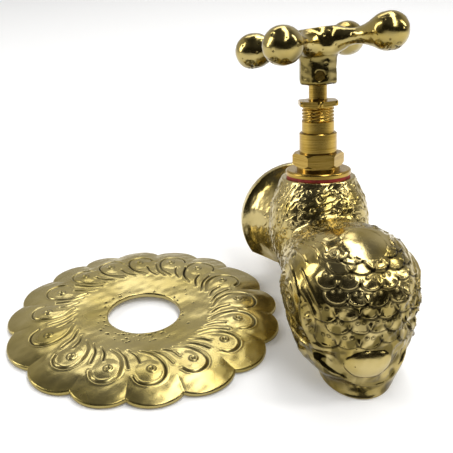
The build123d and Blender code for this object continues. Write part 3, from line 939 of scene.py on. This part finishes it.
def engraveDrops(r, theta, z, dirt, middles, chooser):
    # A looped groove, two short ones, a swollen drop with its tail, and a small eye.
    sizes = dropSizes
    width = sizes["grooveWidth"]
    grooves = [curveThrough(corners, 6) for corners in sizes["grooves"]]
    for middle in middles:
        v = r * turnBetween(theta, middle)
        u = r - sizes["eyeRadius"] + chooser.uniform(-0.6, 0.6)
        close = (np.abs(v) < 16) & (u > -17) & (u < 11)
        spot = np.stack([u[close], v[close]], 1)
        size = chooser.uniform(0.92, 1.03)
        lift = np.zeros(len(spot))
        dark = np.zeros(len(spot))
        for index, groove in enumerate(grooves):
            gap, along = lineDistance(spot, groove * size)
            taper = 0.35 + 0.65 * smoothStep(0, 0.3, along)
            depth = sizes["grooveDepth"] * (1.0 if index == 0 else 0.8)
            lift -= depth * taper * bell(gap, width)
            lift += depth * 0.3 * bell(gap - 1.0, 0.6)
            dark += 1.1 * taper * bell(gap, width) * (0.6 + 0.4 * chooser.random())
        body = np.clip(1 - ((spot[:, 0] - 0.6) / 6.8) ** 2 - ((spot[:, 1] + 0.9) / 6.0) ** 2, 0, 1)
        lift += sizes["drop"] * body ** 0.8
        tail, along = lineDistance(spot, curveThrough(sizes["tail"], 5))
        lift += 0.22 * bell(tail, 2.0) * smoothStep(0, 0.5, along)
        far = np.hypot(spot[:, 0], spot[:, 1])
        lift += 0.42 * bell(far - 1.35, 0.45) - 0.25 * bell(far, 0.6)
        dark += 0.8 * bell(far - 0.5, 0.4) + 0.7 * bell(far - 2.1, 0.4) * (spot[:, 1] < 0.3)
        z[close] += lift
        dirt[close] += dark


def pitHole(r, theta, z, dirt, chooser):
    # Scattered casting pits by the hole, most of them on the near side.
    sizes = dropSizes
    for _ in range(sizes["pits"]):
        if chooser.random() < 0.7:
            pitTurn = chooser.gauss(math.radians(sizes["pitSide"]), 0.55)
        else:
            pitTurn = chooser.uniform(-3.1, 3.1)
        pitRadius = plateSizes["hole"] + abs(chooser.gauss(0.0, sizes["pitSpread"])) + 0.6
        pitSize = chooser.uniform(0.2, 0.5)
        gap = np.hypot(r * turnBetween(theta, pitTurn) / chooser.uniform(1.0, 1.8), r - pitRadius)
        z -= sizes["pitDepth"] * bell(gap, pitSize)
        dirt += 1.2 * bell(gap, pitSize)


def closeUnder(topRows, rim, angles):
    # Round the rim, come back underneath and round the hole's edge.
    sizes = plateSizes
    metal = sizes["metal"]
    around = []
    for turnShare in (0.25, 0.5, 0.75, 1.0):
        bend = math.pi * turnShare
        down = metal * 0.5 * (1 - math.cos(bend))
        around.append((rim + 0.55 * math.sin(bend), np.maximum(topRows[-1][:, 2] - down, 0.0)))
    for back in np.linspace(1, 0, sizes["underRows"]):
        underRadius = sizes["hole"] + (rim - 1.2 - sizes["hole"]) * back
        around.append((underRadius, np.maximum(dishHeight(underRadius, 0.3 * back ** 6) - metal, 0.0)))
    for turnShare in (0.3, 0.7):
        holeRadius = sizes["hole"] - 0.35 * math.sin(math.pi * turnShare)
        around.append((holeRadius, topRows[0][:, 2] - metal * (1 - turnShare)))
    return [np.stack([radius * np.cos(angles), radius * np.sin(angles), z], 1) for radius, z in around]


def makeFlange():
    sizes = plateSizes
    share = 1.0
    columns = int(sizes["columns"] * share)
    rowCount = int(sizes["rows"] * share)
    angles = np.arange(columns) * 2 * math.pi / columns - math.pi
    rim, notchDepth, middles = plateRim(angles)
    steps = np.linspace(0, 1, rowCount)
    r = sizes["hole"] + (rim[None, :] - sizes["hole"]) * steps[:, None]
    nearRim = smoothStep(0.78, 1.0, steps)[:, None]
    z = dishHeight(r, nearRim * (0.3 + 0.9 * notchDepth[None, :]))
    theta = np.broadcast_to(angles, r.shape)
    dirt = np.zeros_like(r)
    chooser = random.Random(dropSizes["seed"])
    engraveDrops(r, theta, z, dirt, middles, chooser)
    pitHole(r, theta, z, dirt, chooser)
    x = r * np.cos(theta)
    y = r * np.sin(theta)
    flat = np.stack([x.ravel(), y.ravel(), np.zeros(x.size)], 1)
    z += (0.14 * waviness(flat, 9.0, 3) + 0.04 * waviness(flat, 3.0, 5)).reshape(z.shape)

    topRows = np.stack([x, y, z], 2)
    rows = [*topRows, *closeUnder(topRows, rim, angles)]
    points = np.concatenate(rows)
    fromCentre = np.hypot(points[:, 0], points[:, 1])
    points += np.array([*sizes["centre"], tableZ])
    mesh = bpy.data.meshes.new("scallopedFlange")
    mesh.from_pydata((points * mm).tolist(), [], gridFaces(len(rows), columns))
    shadeSmooth(mesh)
    hollow = np.concatenate([dirt.ravel(), np.zeros(len(points) - dirt.size)])
    addValue(mesh, "hollow", np.clip(hollow, 0, 1))
    dullTone = smoothStep(0.2, 1.2, waviness(points, 14.0, 6))
    addValue(mesh, "dull", 0.35 * smoothStep(54, 63, fromCentre) + 0.3 * dullTone)
    mesh.materials.append(plateBrass)
    return addObject("scallopedFlange", mesh, "loose_flange", "cast_brass", "wall_flange")


makeFlange()
print("wall flange made")


# Cross handle: rounded joins, ground top kept flat, foundry pits.
handleSizes = {
    "voxel": 0.4, "quickVoxel": 0.7, "joinRounds": 70, "hollowShare": 0.5, "crownShare": 0.04,
    "crossZ": 89.8, "groundFlat": 5.6, "turn": -40.4, "tilt": 6.6, "hubTop": 84.5, "hubRadius": 9.5,
    "socketRadius": 4.6, "seed": 21, "pitGap": 5.5, "pitDepth": 0.35, "roughDepth": 0.3,
}


def makeHandle():
    sizes = handleSizes
    mesh = voxelCopy("handle", sizes["voxel"])
    points = toTap(readPoints(mesh))
    turn = math.radians(sizes["turn"])
    tilt = math.radians(sizes["tilt"])
    alongArm = points[:, 0] * math.cos(turn) + points[:, 1] * math.sin(turn)
    overTop = (points[:, 2] - sizes["crossZ"]) * math.cos(tilt) - alongArm * math.sin(tilt)
    fromSpindle = np.hypot(points[:, 0], points[:, 1])
    socket = (fromSpindle < sizes["socketRadius"]) & (points[:, 2] < sizes["hubTop"])
    free = ~((overTop > sizes["groundFlat"] - 0.35) | socket)
    points = relax(mesh, points, sizes["joinRounds"], sizes["hollowShare"], sizes["crownShare"],
                   free.astype(float))
    normals = readNormals(mesh, points)
    dirt = np.zeros(len(points))
    height = 0.12 * waviness(points, 6.0, 8) + 0.05 * waviness(points, 2.5, 9)
    chooser = random.Random(sizes["seed"])
    for index in scatter(points, free, sizes["pitGap"], chooser):
        gap = np.linalg.norm(points - points[index], axis=1)
        size = chooser.uniform(0.2, 0.5)
        height -= sizes["pitDepth"] * bell(gap, size)
        dirt += 0.9 * bell(gap, size * 0.8)
    # Rough patches left by the mould under some of the balls.
    rough = waviness(points, 0.9, 12)
    under = smoothStep(-0.35, -0.8, normals[:, 2]) * smoothStep(0.1, 0.35, waviness(points, 6.0, 14))
    height -= sizes["roughDepth"] * under * np.clip(rough, 0, 1)
    dirt += 0.8 * under * smoothStep(0.1, 0.4, rough)
    points = points + normals * (height * free)[:, None]
    writePoints(mesh, toRow(points))
    shadeSmooth(mesh)
    addValue(mesh, "hollow", np.clip(dirt * free, 0, 1))
    # Random stains and painted shade on the faces turned down; the hub is darker too.
    dullTone = smoothStep(0.2, 1.2, waviness(points, 7.0, 15)) + smoothStep(-0.2, -0.9, normals[:, 2])
    hub = (fromSpindle < sizes["hubRadius"]) & (points[:, 2] < sizes["hubTop"])
    addValue(mesh, "dull", np.clip(0.6 * dullTone + 0.6 * hub, 0, 1) * free)
    mesh.materials.append(handleBrass)
    return addObject("crossHandle", mesh, "spindle_and_handle", "cast_brass", "handle")


makeHandle()
print("handle made")


# Gland nut with a true helical thread.
glandSizes = {
    "bore": 4.08, "noseRadius": 6.2, "threadRadius": 7.15, "pitch": 1.5, "depth": 0.5, "hexAcross": 16.5,
    "hexTurn": -8.2, "noseZ": 49.9, "noseTop": 51.1, "barrelTop": 55.9, "hexZ": 62.8, "hexTop": 65.0,
    "chamfer": 0.5, "edge": 0.35, "columns": 144,
}


def makeGlandNut():
    sizes = glandSizes
    columns = sizes["columns"]
    angles = np.arange(columns) * 2 * math.pi / columns
    toFace = (angles - math.radians(sizes["hexTurn"]) + math.pi / 6) % (math.pi / 3) - math.pi / 6
    hexRadius = sizes["hexAcross"] / 2 / np.cos(toFace)
    corner = sizes["hexAcross"] / 2 / math.cos(math.pi / 6)
    plain = np.ones(columns)
    bore, nose, outer = sizes["bore"], sizes["noseRadius"], sizes["threadRadius"]
    threadFoot, threadTop, hexTop = sizes["barrelTop"], sizes["hexZ"], sizes["hexTop"]
    rows = [(plain * radius, z) for radius, z in (
        (bore, sizes["noseZ"]), (nose, sizes["noseZ"]), (nose, sizes["noseTop"]), (outer, sizes["noseTop"]),
        (outer, threadFoot))]
    count = int((threadTop - threadFoot) / (sizes["pitch"] / 12))
    for row in range(1, count):
        z = threadFoot + (threadTop - threadFoot) * row / count
        tooth = threadTooth(z, angles, sizes["pitch"], -1)
        runIn = smoothStep(threadTop - 0.2, threadTop - 1.2, z)
        rows.append((outer - sizes["depth"] * (1 - tooth) * runIn, z))
    rows.append((plain * outer, threadTop))
    for z, cone in ((threadTop, sizes["chamfer"]), (threadTop + sizes["edge"], 0.0),
                    (hexTop - sizes["edge"], 0.0), (hexTop, sizes["chamfer"])):
        rows.append((np.minimum(hexRadius, corner - cone), z))
    rows.append((plain * (bore + 0.4), hexTop))
    rows.append((plain * bore, hexTop - 0.4))
    mesh = ringMesh("threadedGland", rows, angles, False)
    bm = bmesh.new()
    bm.from_mesh(mesh)
    bmesh.ops.recalc_face_normals(bm, faces=bm.faces)
    bm.to_mesh(mesh)
    bm.free()
    shadeSmooth(mesh, 32)
    mesh.materials.append(turnedBrass)
    return addObject("threadedGland", mesh, "tap", "machined_brass", "gland_nut")


makeGlandNut()
print("gland nut made")


# Pale floor at the table; soft lights and the camera placed from one target between the tap and the flange.
studio = {
    "target": (0, -0.03819, 0.04088),
    "floorHalf": 6.0, "floorGap": 0.0004, "floorColour": (0.95, 0.95, 0.95, 1), "floorRoughness": 0.8,
    "glowColour": (1, 1, 1, 1), "floorGlow": 0.14,
    "frontColour": (0.022, 0.020, 0.017, 1), "backColour": (0.60, 0.585, 0.55, 1),
    "overColour": (0.07, 0.07, 0.075, 1), "backRange": (-0.35, 0.45), "overRange": (0.45, 0.9),
    "lights": (
        ("overheadStrip", (0.27, -0.35, 1.25), (0.36, 2.5), 19.0, (1.0, 1.0, 1.0)),
        ("leftStrip", (-0.95, 0.15, 0.45), (0.2, 0.8), 3.5, (1.0, 0.99, 0.96)),
        ("rightStrip", (0.85, -0.2, 0.6), (0.15, 0.6), 3.5, (1.0, 0.99, 0.98)),
        ("backWash", (0.0, 1.9, 1.9), (1.6, 0.6), 9.0, (1.0, 1.0, 1.0)),
    ),
}
target = Vector(studio["target"])


def makeFloor():
    half = studio["floorHalf"]
    mesh = bpy.data.meshes.new("studioFloor")
    corners = [(-half, -half, 0), (half, -half, 0), (half, half, 0), (-half, half, 0)]
    mesh.from_pydata(corners, [], [(0, 1, 2, 3)])
    floor = bpy.data.objects.new("studioFloor", mesh)
    floor.location = (0, 0, tableZ * mm - studio["floorGap"])
    bpy.context.scene.collection.objects.link(floor)
    material, _, shader = newMaterial("paleFloor")
    shader.inputs["Base Color"].default_value = studio["floorColour"]
    shader.inputs["Roughness"].default_value = studio["floorRoughness"]
    shader.inputs["Emission Color"].default_value = studio["glowColour"]
    shader.inputs["Emission Strength"].default_value = studio["floorGlow"]
    mesh.materials.append(material)


def makeLights():
    for name, offset, size, power, colour in studio["lights"]:
        data = bpy.data.lights.new(name, "AREA")
        data.shape = "RECTANGLE"
        data.size, data.size_y = size
        data.energy = power
        data.color = colour
        light = bpy.data.objects.new(name, data)
        light.location = target + Vector(offset)
        light.rotation_mode = "QUATERNION"
        aim = Vector((0, 0, -1)) if name == "overheadStrip" else target - light.location
        light.rotation_quaternion = aim.to_track_quat("-Z", "Y")
        bpy.context.scene.collection.objects.link(light)


def addShare(tree, limits, y):
    share = addNode(tree, "ShaderNodeMapRange", -500, y, interpolation_type="SMOOTHSTEP")
    share.inputs["From Min"].default_value, share.inputs["From Max"].default_value = limits
    return share


def makeRoom():
    # The room is bright behind the object, dim overhead and dark on the near side.
    world = bpy.data.worlds.new("softRoom")
    world.use_nodes = True
    tree = world.node_tree
    place = addNode(tree, "ShaderNodeTexCoord", -900, 0)
    split = addNode(tree, "ShaderNodeSeparateXYZ", -700, 0)
    backShare = addShare(tree, studio["backRange"], 150)
    overShare = addShare(tree, studio["overRange"], -150)
    sides = addNode(tree, "ShaderNodeMix", -300, 150, data_type="RGBA")
    sides.inputs[6].default_value = studio["frontColour"]
    sides.inputs[7].default_value = studio["backColour"]
    whole = addNode(tree, "ShaderNodeMix", -100, 0, data_type="RGBA")
    whole.inputs[7].default_value = studio["overColour"]
    connect(tree,
            (place, "Generated", split, "Vector"), (split, "Y", backShare, "Value"),
            (split, "Z", overShare, "Value"), (backShare, "Result", sides, "Factor"),
            (overShare, "Result", whole, "Factor"), (sides, 2, whole, 6),
            (whole, 2, tree.nodes["Background"], "Color"))
    bpy.context.scene.world = world


cameraPlace = {
    "fromTarget": (-0.08326, -0.28767, 0.1201), "forward": (0.12678, 0.88638, -0.44526),
    "right": (0.98993, -0.14159, 0.0), "roll": -0.94, "lens": 56.32, "sensor": 36.0, "nearest": 0.01,
}


def makeCamera():
    look = cameraPlace
    forward = Vector(look["forward"]).normalized()
    right = Vector(look["right"]).normalized()
    up = right.cross(forward)
    turned = Matrix((right, up, -forward)).transposed() @ Matrix.Rotation(math.radians(look["roll"]), 3, "Z")
    data = bpy.data.cameras.new("studioCamera")
    data.lens = look["lens"]
    data.sensor_width = look["sensor"]
    data.clip_start = look["nearest"]
    camera = bpy.data.objects.new("studioCamera", data)
    camera.matrix_world = Matrix.Translation(target + Vector(look["fromTarget"])) @ turned.to_4x4()
    bpy.context.scene.collection.objects.link(camera)
    bpy.context.scene.camera = camera


makeFloor()
makeLights()
makeRoom()
makeCamera()
bpy.context.scene.view_settings.view_transform = "Standard"
print("studio ready")
